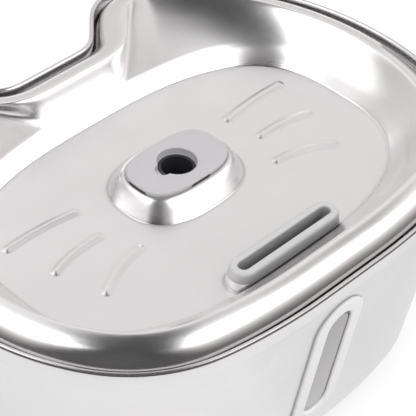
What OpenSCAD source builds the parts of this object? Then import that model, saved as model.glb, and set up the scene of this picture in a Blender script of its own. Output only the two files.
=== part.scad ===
// Pet water fountain: a pressed steel bowl and tray with a cat-head outline, and a pump set inside.
// Millimetres, +Z up. The origin is under the middle of the bowl, on the ground. -Y is the front.

/* [Bowl] */
// Width of the bowl over its rolled rim
bowl_w = 243; // [236:1:252]
// Height of the rolled rim above the ground
bowl_h = 111; // [107:1:118]
// Thickness of the pressed steel
steel = 1; // [0.8:0.1:1.2]
// How much the wall leans in for each millimetre down
taper = 0.14; // [0.12:0.005:0.15]
// Radius between the wall and the bottom
base_r = 13; // [10:1:13]
// Radius of the rolled edge
bead_r = 1; // [0.9:0.05:1.2]
// Depth below the rim of the ledge that carries the tray
ledge_t = 8.5; // [8:0.1:9]
// Width of that ledge
ledge_w = 2.5; // [2.3:0.1:2.8]

/* [Tray] */
// Height of the tray's crest above its floor
crest_z = 17.8; // [16:0.2:20]
// Distance from the bowl's edge in to the crest
crest_in = 15.4; // [14.6:0.2:16.4]
// Distance from the bowl's edge in to the tray's hem
hem_in = 4.1; // [3.9:0.1:4.5]
// Height of the hem above the tray's floor
hem_z = 10.4; // [10:0.1:11]
// Depth of the tray's floor below the bowl's rim
floor_drop = 13.5; // [13:0.1:14]
// Gap between the tray's curled edge and the ledge
tray_fit = 0.2; // [0.1:0.05:0.3]
// Height of the whisker ribs
rib_h = 1.2; // [0.8:0.1:1.6]
// Width of the whisker ribs
rib_w = 3.8; // [3:0.1:4.6]
// Height of the boss under the slot ring
boss_h = 4.2; // [3.6:0.1:4.8]
// Height of the dome under the cap
dome_h = 8; // [7:0.2:9]

/* [Cap and slot] */
// Radius of the round outlet in the cap
outlet_r = 8; // [7.4:0.1:8.6]
// Thickness of the cap's plate
cap_t = 1.7; // [1.4:0.1:2.2]
// Half the width of the slot
slot_r = 2.2; // [1.8:0.1:2.6]
// Half the length of the slot's straight part
slot_half = 22.3; // [18:0.1:24]

/* [Window] */
// Radius of the window frame's ends
frame_r = 13; // [12.4:0.2:13.6]
// Gap between the window frame and the ends of the flat wall it stands on
frame_gap = 6; // [5:0.1:7]
// Radius of the lens's ends
lens_r = 6.2; // [5.6:0.1:6.8]

/* [Pump set] */
// Width of the pump housing
pump_w = 44; // [42:1:48]
// Height of the pump housing
pump_h = 42; // [41:0.5:44]
// Outer radius of the impeller's blades
blade_r = 11.5; // [10:0.1:12]
// Radius of the rotor magnet
magnet_r = 5.8; // [5:0.1:6]
// Thickness of the filter cartridge
cartridge_h = 12; // [10:0.5:14]
// Radius of the cable that the gland takes
cable_r = 2.5; // [2:0.1:2.8]

/* [Travel] */
// How far the tray lifts in the model
tray_lift = 90;
// How far the cap lifts out of the dome
cap_lift = 30;
// How far the cartridge lifts out of its box, under the tray
cartridge_lift = 22;
// How far the gate slides across the intake
gate_travel = 7;

/* [Hidden] */
$fn = 48;

// ---- head outline: a chain of tangent arcs, written for a bowl 243 wide ----
head = bowl_w / 243;
front_flat = 16 * head;
front_r = 234 * head;
corner_r = 65.5 * head;
cheek_r = 98 * head;
side_r = 118.5 * head;
ear_r = 27 * head;
flank = 15 * head;
root_r = 11.5;
front_turn = 11.5;
corner_turn = 43.5;
cheek_turn = 26.5;
side_turn = 62.5;
ear_turn = 83;
root_turn = 180 - front_turn - corner_turn - cheek_turn - side_turn - ear_turn;

function left(a) = [-sin(a), cos(a)];
function along(a) = [cos(a), sin(a)];
function mix(a, b, u) = a + (b - a) * u;
function backwards(v) = [for (i = [len(v) - 1:-1:0]) v[i]];

// A run is [radius, turn, steps], or [length, 0, steps] where it is straight.
runs = [[front_flat, 0, 1], [front_r, front_turn, 4], [corner_r, corner_turn, 6],
        [cheek_r, cheek_turn, 3], [side_r, side_turn, 8], [ear_r, ear_turn, 9],
        [flank, 0, 1], [root_r, root_turn, 5]];

function reach(a, run) =
    run[1] == 0 ? run[0] * along(a) : sign(run[1]) * run[0] * (left(a) - left(a + run[1]));
function run_points(p, a, run, off) =
    [for (i = [1:run[2]])
        let (b = a + run[1] * i / run[2], r = sign(run[1]) * run[0])
        run[1] == 0 ? p + run[0] * i / run[2] * along(a) - off * left(a)
                    : p + r * left(a) - (r + off) * left(b)];
function walk(p, a, off, i = 0) =
    i == len(runs) ? []
    : concat(run_points(p, a, runs[i], off),
             walk(p + reach(a, runs[i]), a + runs[i][1], off, i + 1));
function heading(i) = i == 0 ? 0 : heading(i - 1) + runs[i - 1][1];
function place(i) = i == 0 ? [0, 0] : place(i - 1) + reach(heading(i - 1), runs[i - 1]);

ear_top = place(5)[1] + ear_r * (1 + cos(heading(5)));
head_d = ear_top;
front_y = -head_d / 2;
back_x = place(len(runs))[0];
back_y = front_y + place(len(runs))[1];
back_steps = 3;

// Half of the outline, from the middle of the front round to the middle of the back.
function half_outline(off) =
    concat([[0, front_y - off]], walk([0, front_y], 0, off),
           [for (i = [1:back_steps]) [back_x * (1 - i / back_steps), back_y + off]]);
// The outline moved out by off, all the way round.
function outline(off) =
    let (h = half_outline(off), m = len(h))
    concat(h, [for (i = [m - 2:-1:1]) [-h[i][0], h[i][1]]]);

// ---- levels and places ----
foot_h = 3;
base_z = foot_h;
floor_z = bowl_h - floor_drop;
depth = bowl_h - base_z;
dome_y = front_y + 92.8 * head;
slot_y = dome_y - 57.4 * head;
lean = atan(taper);
collar_in = bead_r - 0.1;

// ---- rings and lofts ----
function oval(a, b, n, cx, th) =
    let (c = abs(cos(th)) / a, s = abs(sin(th)) / b,
         r = 1 / pow(pow(c, n) + pow(s, n), 1 / n))
    cx + r * [cos(th), sin(th)];
function at_z(ring, z) = [for (p = ring) [p[0], p[1], z]];
rim = outline(0);
count = len(rim);
pan_c = [0, dome_y - 7.4 * head];
angles = [for (p = rim) atan2(p[1] - pan_c[1], p[0] - pan_c[0])];
function oval_ring(a, b, n, c, z) = [for (th = angles) concat(oval(a, b, n, c, th), z)];

// Triangles between rings i and j of n points. flip splits the quads along the other diagonal, so
// that the inside of a sheet is split as its outside is.
function band(i, j, n, flip) =
    [for (k = [0:n - 1]) let (a = i * n, b = j * n, l = (k + 1) % n)
        each flip ? [[a + k, b + k, a + l], [b + k, b + l, a + l]]
                  : [[a + k, b + l, a + l], [a + k, b + k, b + l]]];
// A closed solid from rings that run up one side of a sheet and, after ring number turn, back
// along its other side. Its ends are capped, or joined when it is a loop.
module loft(rings, turn, loop = false) {
    n = len(rings[0]);
    m = len(rings);
    sides = [for (i = [0:m - 2]) each band(i, i + 1, n, i >= turn)];
    ends = loop ? band(m - 1, 0, n, false)
                : [[for (k = [0:n - 1]) k], [for (k = [n:-1:1]) (m - 1) * n + k % n]];
    polyhedron(points = [for (r = rings) each r], faces = concat(sides, ends));
}

// A bar with round ends, along X.
module stadium(half, r, h) {
    translate([-half, 0, 0]) cylinder(r = r, h = h);
    translate([half, 0, 0]) cylinder(r = r, h = h);
    translate([-half, -r, 0]) cube([2 * half, 2 * r, h]);
}
// A flat profile swept round such a bar.
module stadium_sweep(half) {
    for (s = [0, 1]) {
        rotate([0, 0, 180 * s]) {
            translate([half, 0, 0]) rotate([0, 0, -90]) rotate_extrude(angle = 180) children();
            translate([half, 0, 0]) rotate([90, 0, -90]) linear_extrude(2 * half) children();
        }
    }
}

// ---- bowl ----
function wall_in(t) = collar_in + ledge_w + taper * (t - ledge_t - steel);
heel_in = wall_in(depth - base_r);
back_in = 22 * head;
morph_from = 26;

// The back of the bowl loses its ears on the way down and ends in a plain oval.
polar = [for (p = rim) atan2(p[1], p[0])];
function morph(t) =
    t < morph_from ? 0 : pow(min(1, (t - morph_from) / (depth - steel - morph_from)), 1.4);
function backness(y) = let (u = min(max((y + 15) / 55, 0), 1)) u * u * (3 - 2 * u);
function bowl_ring(d, t) =
    let (ring = outline(-d), b = head_d / 2 - back_in)
    [for (i = [0:count - 1])
        let (p = ring[i], w = morph(t) * backness(rim[i][1]),
             q = oval(bowl_w / 2 - d, b + d * 0.1 + heel_in - d, 2.6, [0, 0], polar[i]))
        concat(mix(p, q, w), bowl_h - t)];

// Steps of the ledge: distance in from the collar, depth below the ledge.
ledge_under = [[ledge_w - 0.5, 0.8], [0.6, 0.4], [0, -0.5]];
ledge_over = [[0, -1.1], [0.5, -0.1], [ledge_w - 0.5, 0]];
// The flat stretch of the front wall, from under the ledge down to the heel.
flat_top = ledge_t + 1.6;
flat_end = depth - base_r;
module bowl_shell() {
    heel = [90, 68, 45, 22, 5];
    levels = [80, 62, 44, 28];
    inner_r = base_r - steel;
    outside = concat(
        [for (a = heel)
            bowl_ring(heel_in + base_r * (1 - cos(a)), depth - base_r * (1 - sin(a)))],
        [for (t = concat(levels, flat_top)) bowl_ring(wall_in(t), t)],
        [for (s = ledge_under) bowl_ring(collar_in + s[0], ledge_t + s[1])],
        [for (a = [-35, 15, 65, 120, 180])
            bowl_ring(bead_r * (1 - cos(a)), bead_r * (1 - sin(a)))]);
    inside = concat(
        [for (s = ledge_over) bowl_ring(collar_in + steel + s[0], ledge_t + s[1])],
        [for (t = concat(ledge_t + 0.8, backwards(levels))) bowl_ring(wall_in(t) + steel, t)],
        [for (a = backwards(heel))
            bowl_ring(heel_in + steel + inner_r * (1 - cos(a)),
                      depth - steel - inner_r * (1 - sin(a)))]);
    loft(concat(outside, inside), len(outside));
}

// Moves a piece drawn flat onto the outside of the leaning front wall, t below the rim.
module on_front(t) {
    translate([0, front_y + wall_in(t), bowl_h - t]) rotate([90 + lean, 0, 0]) children();
}
module on_back(t) {
    translate([0, back_y - wall_in(t), bowl_h - t]) rotate([-90 - lean, 0, 0]) children();
}

window_t = (flat_top + flat_end) / 2;
frame_l = (flat_end - flat_top) / cos(lean) - 2 * (frame_r + frame_gap);
window_fit = 0.15;
tongue_r = frame_r - 1.6;
gland_t = 16.6;
gland_r = cable_r + 2;
skin = steel * cos(lean);
seat_fit = 0.1;

module bowl() {
    color("silver") difference() {
        bowl_shell();
        on_front(window_t) translate([0, 0, -5]) rotate([0, 0, 90])
            stadium(frame_l / 2, tongue_r + window_fit, 10);
        on_back(gland_t) translate([0, 0, -5]) cylinder(r = gland_r, h = 10);
    }
}

// ---- feet ----
foot_r = 9;
foot_x = 58 * head;
foot_y = 36 * head;
module feet() {
    color("gainsboro") for (x = [-foot_x, foot_x], y = [-foot_y, foot_y])
        translate([x, y, 0]) rotate_extrude()
            polygon([[0, 0.6], [foot_r - 3, 0.6], [foot_r - 2.4, 0], [foot_r - 1, 0], [foot_r, 1],
                     [foot_r, foot_h], [0, foot_h]]);
}

// ---- window ----
gasket_t = 0.8;
flange_t = 2;
tongue_l = 5;
lens_half = frame_l / 2 - 1.2;
lens_rest = 1;
module window_frame() {
    color("whitesmoke") on_front(window_t) rotate([0, 0, 90]) difference() {
        union() {
            translate([0, 0, gasket_t]) stadium(frame_l / 2, frame_r - 0.7, flange_t);
            translate([0, 0, gasket_t]) stadium(frame_l / 2, frame_r, flange_t - 0.7);
            translate([0, 0, gasket_t - tongue_l]) stadium(frame_l / 2, tongue_r, tongue_l);
        }
        translate([0, 0, -10]) stadium(lens_half, lens_r - lens_rest, 20);
        translate([0, 0, gasket_t - 1]) stadium(lens_half, lens_r, 10);
    }
}
module window_lens() {
    color("lightgrey") on_front(window_t) rotate([0, 0, 90]) {
        translate([0, 0, gasket_t - 1]) stadium(lens_half, lens_r, 2);
        translate([0, 0, gasket_t - 3]) stadium(lens_half, lens_r - lens_rest, 2);
    }
}
module window_gasket() {
    color("grey") on_front(window_t) rotate([0, 0, 90]) difference() {
        translate([0, 0, seat_fit]) stadium(frame_l / 2, frame_r - 0.5, gasket_t - seat_fit);
        translate([0, 0, -1]) stadium(frame_l / 2, tongue_r, 3);
    }
}
module window_backplate() {
    color("whitesmoke") on_front(window_t) rotate([0, 0, 90]) difference() {
        translate([0, 0, -skin - 2]) stadium(frame_l / 2, frame_r + 1.4, 2);
        translate([0, 0, -skin - 3]) stadium(frame_l / 2, tongue_r, 4);
    }
}

// ---- cable gland ----
gland_lip = 1.6;
module cable_gland() {
    lip_r = gland_r + gland_lip;
    neck_r = gland_r - seat_fit;
    under = -skin - seat_fit;
    color("dimgrey") on_back(gland_t) rotate_extrude() polygon([
        [cable_r + 0.1, -skin - 3], [gland_r - 0.6, -skin - 3], [lip_r, -skin - 0.8],
        [lip_r, under], [neck_r, under], [neck_r, seat_fit], [lip_r, seat_fit],
        [lip_r, 1], [gland_r + 0.4, 2], [cable_r + 0.1, 2]]);
}

// ---- tray ----
pan_a = 88.8 * head;
pan_b = 54.5 * head;
pan_n = 2.86;
dome_a = 28.3;
dome_b = 21.2;
cap_a = 21.6;
cap_b = 13.4;
mouth_a = 17.8;
mouth_b = 10;
dome_c = [0, dome_y];

// Curled edge and hem: distance in from the bowl's edge, height over the floor.
curl_r = 0.9;
curl_in = hem_in - 0.6;
curl_z = floor_drop - ledge_t + tray_fit + curl_r;
curl_out = [for (a = [-100, -50, 0, 50]) [curl_in - curl_r * cos(a), curl_z + curl_r * sin(a)]];
hem_out = [[hem_in - 0.3, curl_z + 1.3], [hem_in - 0.05, hem_z - 1]];
hem_under = [[hem_in + steel - 0.05, hem_z - 1], [hem_in + steel - 0.35, curl_z + 1.5],
             [curl_in + curl_r, curl_z]];
// Rim profile: distance in from the bowl's edge, height over the floor, angle of the surface.
rim_w = crest_in - hem_in;
rim_drop = crest_z - hem_z;
function rim_step(s) =
    let (q = 1 - pow(s, 1.8), slope = 1.62 * rim_drop / rim_w * pow(s, 0.8) / pow(max(q, 0.02), 0.1))
    [crest_in - rim_w * s, crest_z - rim_drop * (1 - pow(max(q, 0), 0.9)), s == 1 ? 78 : atan(slope)];
wall_steps = [[crest_in, crest_z, 0], [crest_in + 1.7, crest_z - 0.4, -28],
              [crest_in + 3.2, crest_z - 1.7, -48]];
// Foot of the wall: distance out from the edge of the floor, height, angle.
foot_steps = [[5.6, 6.6, -55], [2.5, 2, -50], [1.1, 0.4, -25], [0, 0, 0]];
// Dome: share of the way from its base in to the cap's outline, height as a share, angle.
dome_steps = [[-0.16, 0, 0], [0.04, 0.08, 30], [0.3, 0.45, 52], [0.6, 0.8, 42], [0.84, 0.96, 22],
              [1, 1, 0]];

function tray_edge_ring(s) = at_z(outline(-s[0]), floor_z + s[1]);
function tray_rim_ring(s, t) =
    at_z(outline(-s[0] - t * sin(s[2])), floor_z + s[1] - t * cos(s[2]));
function tray_foot_ring(s, t) = let (g = s[0] - t * sin(s[2]))
    oval_ring(pan_a + g, pan_b + g, pan_n, pan_c, floor_z + s[1] - t * cos(s[2]));
function tray_dome_ring(s, t) = let (u = s[0] + t * sin(s[2]) / 7)
    oval_ring(mix(dome_a, cap_a, u), mix(dome_b, cap_b, u), mix(2.5, 2.9, u), dome_c,
              floor_z + s[1] * dome_h - t * cos(s[2]));
// One side of the sheet, from the hem in to the mouth under the cap.
function tray_rings(rim_shares, t) = concat(
    [for (s = rim_shares) tray_rim_ring(rim_step(s), t)],
    [for (s = wall_steps) tray_rim_ring(s, t)],
    [for (s = foot_steps) tray_foot_ring(s, t)],
    [for (s = dome_steps) tray_dome_ring(s, t)],
    [oval_ring(mouth_a, mouth_b, 2.9, dome_c, floor_z + dome_h - t)]);
module tray_sheet() {
    top = concat([for (s = curl_out) tray_edge_ring(s)],
                 [for (s = hem_out) tray_edge_ring(s)],
                 tray_rings([1, 0.96, 0.86, 0.7, 0.48, 0.24], 0));
    under = concat(backwards(tray_rings([0.97, 0.8, 0.45], steel)),
                   [for (s = hem_under) tray_edge_ring(s)]);
    loft(concat(top, under), len(top), loop = true);
}

// Whisker ribs: inner end, outer end and rise of the bow, from the middle of the dome.
ribs = [[[42.2, 12.6], [75, 14.3], 1], [[44.7, -3.8], [69.6, -7], 1.4], [[38, -18.8], [63, -27.4], 1.7]];
rib_r = (rib_w * rib_w / 4 + rib_h * rib_h) / (2 * rib_h);
module rib_section(grow) {
    intersection() {
        translate([0, rib_h - rib_r]) circle(r = rib_r + grow);
        translate([-rib_r * 2, -steel / 2]) square([4 * rib_r, rib_r * 2]);
    }
}
module rib(p, q, bow) {
    chord = norm(q - p);
    a = atan2(q[1] - p[1], q[0] - p[0]);
    r = (chord * chord / 4 + bow * bow) / (2 * bow);
    half_angle = asin(chord / 2 / r);
    centre = (p + q) / 2 - (r - bow) * left(a);
    translate(centre) rotate([0, 0, 90 + a - half_angle])
        rotate_extrude(angle = 2 * half_angle, $fn = 200) translate([r, 0]) rib_section(0);
    for (end = [p, q]) translate(end) rotate_extrude() intersection() {
        rib_section(0.04);
        square([20, 20], center = false);
    }
}

boss_r = 5.9;
boss_flare = 1.2;
module boss(off, h) {
    hull() for (x = [-slot_half, slot_half])
        translate([x, slot_y, 0]) cylinder(r1 = boss_r + boss_flare - off, r2 = boss_r - off, h = h);
}
ring_neck = 3.4;
module tray() {
    color("silver") difference() {
        union() {
            tray_sheet();
            translate([0, 0, floor_z]) boss(0, boss_h);
            for (s = [0, 1], r = ribs) translate([0, dome_y, floor_z]) mirror([s, 0, 0])
                rib(r[0] * head, r[1] * head, r[2]);
        }
        translate([0, 0, floor_z - 5]) boss(steel, boss_h + 5 - steel);
        translate([0, slot_y, floor_z - 10]) stadium(slot_half, ring_neck, 30);
    }
}

// ---- slot ring ----
ring_r = 5.5;
ring_top = 8.6;
module slot_ring() {
    z = boss_h;
    color("silver") translate([0, slot_y, floor_z]) stadium_sweep(slot_half) polygon([
        [slot_r, ring_top - 0.9], [slot_r + 0.4, ring_top - 0.2], [slot_r + 1.1, ring_top],
        [ring_r - 1.3, ring_top], [ring_r - 0.4, ring_top - 0.5], [ring_r, ring_top - 1.5],
        [ring_r, z], [ring_neck, z], [ring_neck, z - steel], [ring_neck + 0.8, z - steel],
        [ring_neck + 0.6, z - steel - 1], [slot_r, z - steel - 1.4]]);
}

// ---- spout cap ----
riser_r = 7.4;
riser_bore = 6.3;
cap_z = floor_z + dome_h;
cap_fit = 0.3;
outlet_t = 3;
key_turn = 180;
key_c = 7.7;
key_r = 3.2;
function cap_ring(g, z) = [for (i = [0:71]) concat(oval(cap_a + g, cap_b + g, 2.9, dome_c, i * 5), z)];
socket_r = riser_r + 0.3;
skirt_l = 5;
module cap_outline(g) {
    polygon([for (i = [0:71]) oval(mouth_a + g, mouth_b + g, 2.9, dome_c, i * 5)]);
}
// The round outlet, with a small circle that widens it at one side.
module outlet_outline(g) {
    translate([0, dome_y]) {
        circle(r = outlet_r + g);
        rotate(key_turn) translate([key_c, 0]) circle(r = key_r + g);
    }
}
module spout_cap() {
    color("lightgrey") difference() {
        union() {
            loft([cap_ring(0, cap_z), cap_ring(0, cap_z + cap_t - 0.8),
                  cap_ring(-0.25, cap_z + cap_t - 0.25), cap_ring(-0.9, cap_z + cap_t)], 4);
            translate([0, 0, cap_z - skirt_l]) linear_extrude(skirt_l + 0.2) difference() {
                cap_outline(-cap_fit);
                cap_outline(-cap_fit - 1.2);
            }
            translate([0, 0, cap_z - skirt_l]) linear_extrude(skirt_l + 0.2) intersection() {
                outlet_outline(2.4);
                cap_outline(-cap_fit);
            }
        }
        translate([0, 0, cap_z + cap_t - outlet_t]) linear_extrude(10) outlet_outline(0);
        translate([0, dome_y, cap_z - 20]) cylinder(r = socket_r, h = 30);
        for (s = [-1, 1]) {
            translate([-5, dome_y + s * cap_b - 0.8, cap_z - 0.1]) cube([10, 1.6, 0.8]);
            translate([s * cap_a - 0.8, dome_y - 4.5, cap_z - 0.1]) cube([1.6, 9, 0.8]);
        }
    }
}

// ---- pump set levels, from the bowl's inside floor up ----
inside_z = base_z + steel;
box_t = 1.8;
cup_h = 4;
pump_z = inside_z + box_t + cup_h;
axis_z = pump_z + pump_h - 18;
pump_top = pump_z + pump_h;
nozzle_r = 6;
nozzle_bore = 4;
nozzle_top = pump_top + 9;
pump_front = dome_y - 5;
pump_back = dome_y + 33;

// ---- riser ----
riser_grip = 6;
riser_top = cap_z + cap_t - outlet_t;
module riser() {
    z = pump_top + 1;
    color("dimgrey") translate([0, dome_y, 0]) rotate_extrude() polygon([
        [nozzle_r, z], [riser_r + 0.4, z], [riser_r + 0.4, z + riser_grip],
        [riser_r, z + riser_grip + 1], [riser_r, riser_top], [riser_bore, riser_top],
        [riser_bore, nozzle_top + 3], [nozzle_bore, nozzle_top], [nozzle_r, nozzle_top]]);
}

// ---- filter box and cartridge ----
box_w = 116;
box_d = 84;
box_r = 14;
box_c = [0, dome_y + 8];
box_top = pump_top + 14;
cartridge_z = box_top - cartridge_h + 2;
tube_r = riser_r + 1.8;
module rounded(w, d, r) {
    for (x = [r - w / 2, w / 2 - r], y = [r - d / 2, d / 2 - r]) translate([x, y]) circle(r = r);
    square([w - 2 * r, d], center = true);
    square([w, d - 2 * r], center = true);
}
module box_shape(g, z, h) {
    translate([box_c[0], box_c[1], z]) linear_extrude(h) rounded(box_w + 2 * g, box_d + 2 * g, box_r + g);
}
module filter_box() {
    color("whitesmoke") difference() {
        union() {
            difference() {
                box_shape(0, inside_z, box_top - inside_z);
                box_shape(-box_t, inside_z + box_t, box_top);
            }
            difference() {
                box_shape(-0.5, cartridge_z - 2, 2);
                box_shape(-box_t - 2, cartridge_z - 3, 4);
            }
        }
        for (x = [-1, 1]) translate([x * box_w / 2, box_c[1], box_top])
            rotate([0, 90, 0]) cylinder(r = 9, h = 10, center = true);
        translate([0, box_c[1] + box_d / 2, box_top]) rotate([90, 0, 0])
            cylinder(r = 4, h = 10, center = true);
    }
}
frame_t = 1.5;
cart_fit = 0.5;
module filter_frame() {
    g = -box_t - cart_fit;
    bars = 4;
    color("white") difference() {
        box_shape(g, cartridge_z, cartridge_h);
        difference() {
            box_shape(g - frame_t, cartridge_z + 1.2, cartridge_h);
            translate([0, dome_y, 0]) cylinder(r = tube_r + frame_t, h = 200);
        }
        translate([0, dome_y, 0]) cylinder(r = tube_r, h = 200);
        difference() {
            box_shape(g - frame_t - 3, cartridge_z - 1, 5);
            translate([0, dome_y, 0]) cylinder(r = tube_r + frame_t + 2, h = 200);
            for (i = [-bars:bars]) translate([i * box_w / (2 * bars + 2) - 1, box_c[1] - box_d, 0])
                cube([2, 2 * box_d, 200]);
        }
    }
}
module layer(z, h) {
    difference() {
        box_shape(-box_t - cart_fit - frame_t, z, h);
        translate([0, dome_y, 0]) cylinder(r = tube_r + frame_t, h = 200);
    }
}
bed_h = (cartridge_h - 3.2) / 2;
module filter_fleece() {
    color("white") layer(cartridge_z + 1.2 + bed_h, bed_h);
}
module carbon_bed() {
    color("dimgrey") layer(cartridge_z + 1.2, bed_h);
}

// ---- prefilter sponge ----
sponge_h = 30;
sponge_gap = 0.6;
sponge_front = 8;
module prefilter_sponge() {
    g = 3;
    color("dimgrey") difference() {
        box_shape(-box_t - g, inside_z + box_t, sponge_h);
        translate([-pump_w / 2 - sponge_gap, pump_front - sponge_front - 1, 0])
            cube([pump_w + 2 * sponge_gap, pump_back - pump_front + sponge_front + 1 + sponge_gap, 100]);
    }
}

// ---- pump ----
chamber_r = blade_r + 1;
chamber_l = 8;
well_r = magnet_r + 0.6;
well_wall = 1.2;
well_l = 26;
cavity_y = pump_front + chamber_l + 3;
cavity_w = pump_w - 4;
seal_r = 0.9;
seat_r = chamber_r + 2;
// Turns a piece drawn along +Z so that it points back along the impeller's axis from y.
module on_axis(y) {
    translate([0, y, axis_z]) rotate([-90, 0, 0]) children();
}
module cavity() {
    translate([-cavity_w / 2, cavity_y, pump_z + 2]) cube([cavity_w, pump_back - cavity_y + 1, pump_h - 4]);
}
module well_tube() {
    on_axis(cavity_y - 1) cylinder(r = well_r + well_wall, h = well_l - 6);
}
module pump_body() {
    color("black") difference() {
        union() {
            difference() {
                translate([-pump_w / 2, pump_front, pump_z])
                    cube([pump_w, pump_back - pump_front, pump_h]);
                cavity();
            }
            well_tube();
            translate([0, dome_y, pump_top - 1]) cylinder(r = nozzle_r, h = nozzle_top - pump_top + 1);
        }
        on_axis(pump_front - 1) cylinder(r = chamber_r, h = chamber_l + 1);
        on_axis(pump_front) cylinder(r = well_r, h = well_l);
        on_axis(pump_front + well_l - 0.5) cylinder(r = bush_r, h = bush_l);
        on_axis(pump_front) difference() {
            translate([0, 0, -1]) cylinder(r = seat_r + seal_r, h = 1 + seal_r);
            translate([0, 0, -2]) cylinder(r = seat_r - seal_r, h = 4);
        }
        translate([0, dome_y, axis_z + chamber_r - 4]) cylinder(r = nozzle_bore, h = 60);
    }
}

// ---- pump cover, seal and gate ----
cover_t = 3;
grille_x = 4.4;
grille_pitch = 2.6;
grille_w = 1.4;
grille_h = 11;
gate_fit = 0.3;
gate_w = 28;
gate_h = 14.6;
gate_t = 1.5;
rail_t = 1.5;
rail_lip = 1;
// Turns a piece drawn on the X-Z plane so that its +Y points out of the cover's face.
module on_cover() {
    translate([0, pump_front - cover_t, axis_z]) mirror([0, 1, 0]) children();
}
module pump_cover() {
    rail_d = gate_t + 2 * gate_fit;
    rail_z = gate_h / 2 + gate_fit;
    color("black") difference() {
        union() {
            translate([-pump_w / 2, pump_front - cover_t, pump_z]) cube([pump_w, cover_t, pump_h]);
            on_axis(pump_front - cover_t) cylinder(r = bush_r + 1.4, h = cover_t + 1.5);
            for (s = [0, 1]) on_cover() mirror([0, 0, s]) {
                translate([-pump_w / 2 + 3, -0.1, rail_z]) cube([pump_w - 6, rail_d + 1.1, rail_t]);
                translate([-pump_w / 2 + 3, rail_d, rail_z - rail_lip]) cube([pump_w - 6, 1, rail_lip + rail_t]);
            }
        }
        on_axis(pump_front - 1.2) cylinder(r = bush_r, h = 10);
        for (s = [0, 1], i = [0:2]) mirror([s, 0, 0])
            translate([grille_x + i * grille_pitch, pump_front - 20, axis_z - grille_h / 2])
                cube([grille_w, 40, grille_h]);
    }
}
module cover_seal() {
    color("orange") on_axis(pump_front) translate([0, 0, seal_r / 2]) rotate_extrude()
        translate([seat_r, 0]) square([2 * seal_r, seal_r], center = true);
}
module flow_gate() {
    color("dimgrey") on_cover() difference() {
        union() {
            translate([-gate_w / 2, gate_fit, -gate_h / 2]) cube([gate_w, gate_t, gate_h]);
            translate([-gate_w / 2 + 0.5, gate_fit, -3]) cube([2, gate_t + 2.5, 6]);
        }
        translate([-gate_w / 2 + 3, 0, -grille_h / 2 - 0.2]) cube([gate_w - 6, 5, grille_h + 0.4]);
    }
}

// ---- rotor ----
shaft_r = 1;
bush_r = 2.4;
bush_l = 3;
hub_r = 2.6;
blades = 5;
rotor_y = pump_front + 2.6;
shaft_y0 = pump_front - 1.2;
shaft_l = well_l + 3.5;
magnet_l = 15;
magnet_y = pump_front + chamber_l + 1;
spin_fit = 0.03;
module impeller() {
    color("white") difference() {
        union() {
            on_axis(rotor_y) cylinder(r = hub_r, h = magnet_y - rotor_y + magnet_l);
            on_axis(rotor_y + 4) cylinder(r = magnet_r - 0.6, h = magnet_y - rotor_y - 4);
            for (i = [0:blades - 1]) on_axis(rotor_y) rotate([0, 0, i * 360 / blades])
                translate([0, -0.6, 0]) cube([blade_r, 1.2, 5]);
        }
        on_axis(rotor_y - 5) cylinder(r = shaft_r + spin_fit, h = 60);
    }
}
module rotor_magnet() {
    color("dimgrey") on_axis(magnet_y) difference() {
        cylinder(r = magnet_r, h = magnet_l);
        translate([0, 0, -1]) cylinder(r = hub_r, h = magnet_l + 2);
    }
}
module impeller_shaft() {
    color("white") on_axis(shaft_y0) cylinder(r = shaft_r, h = shaft_l);
}
module bush() {
    difference() {
        cylinder(r = bush_r, h = bush_l);
        translate([0, 0, -1]) cylinder(r = shaft_r, h = 10);
    }
}
module shaft_bushes() {
    color("dimgrey") {
        on_axis(shaft_y0) bush();
        on_axis(pump_front + well_l - 0.5) bush();
    }
}

// ---- motor ----
core_y = cavity_y + 3;
core_t = 12;
core_w = 34;
leg_w = 7;
pole_gap = 4;
coil_w = 16;
module core_section() {
    difference() {
        translate([-core_w / 2, pump_z + 4]) square([core_w, pump_h - 8]);
        translate([0, axis_z]) circle(r = well_r + well_wall + 0.3);
        translate([-core_w / 2 + leg_w, pump_z + 4 + leg_w])
            square([core_w - 2 * leg_w, axis_z - well_r - pump_z - leg_w - 6]);
        translate([-pole_gap / 2, pump_z + 5 + leg_w]) square([pole_gap, pump_h]);
    }
}
module stator_core() {
    color("slategrey") translate([0, core_y + core_t, 0]) rotate([90, 0, 0]) linear_extrude(core_t)
        core_section();
}
module motor_coil() {
    color("peru") difference() {
        translate([-coil_w / 2, core_y - 2.5, pump_z + 2.4]) cube([coil_w, core_t + 5, leg_w + 3.2]);
        translate([-coil_w, core_y, pump_z + 4]) cube([2 * coil_w, core_t, leg_w]);
    }
}
module potting() {
    color("darkslategrey") difference() {
        intersection() {
            cavity();
            translate([-100, -200, 0]) cube([200, 200 + pump_back - 0.5, 200]);
        }
        well_tube();
        translate([0, core_y + core_t, 0]) rotate([90, 0, 0]) linear_extrude(core_t) core_section();
        translate([-coil_w / 2, core_y - 2.5, pump_z + 2.4]) cube([coil_w, core_t + 5, leg_w + 3.2]);
    }
}

// ---- suction cups ----
cup_r = 6;
module suction_cups() {
    color("dimgrey") for (x = [-1, 1], y = [pump_front + 8, pump_back - 8])
        translate([x * (pump_w / 2 - 8), y, inside_z + box_t]) rotate_extrude() polygon([
            [0, 1], [cup_r - 1.6, 1], [cup_r - 0.4, 0], [cup_r, 0], [cup_r, 0.8],
            [2.6, cup_h - 0.8], [2.6, cup_h], [0, cup_h]]);
}

bowl();
feet();
window_frame();
window_lens();
window_gasket();
window_backplate();
cable_gland();
tray();
slot_ring();
spout_cap();
riser();
filter_box();
filter_frame();
filter_fleece();
carbon_bed();
prefilter_sponge();
pump_body();
pump_cover();
cover_seal();
flow_gate();
impeller();
rotor_magnet();
impeller_shaft();
shaft_bushes();
stator_core();
motor_coil();
potting();
suction_cups();
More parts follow.
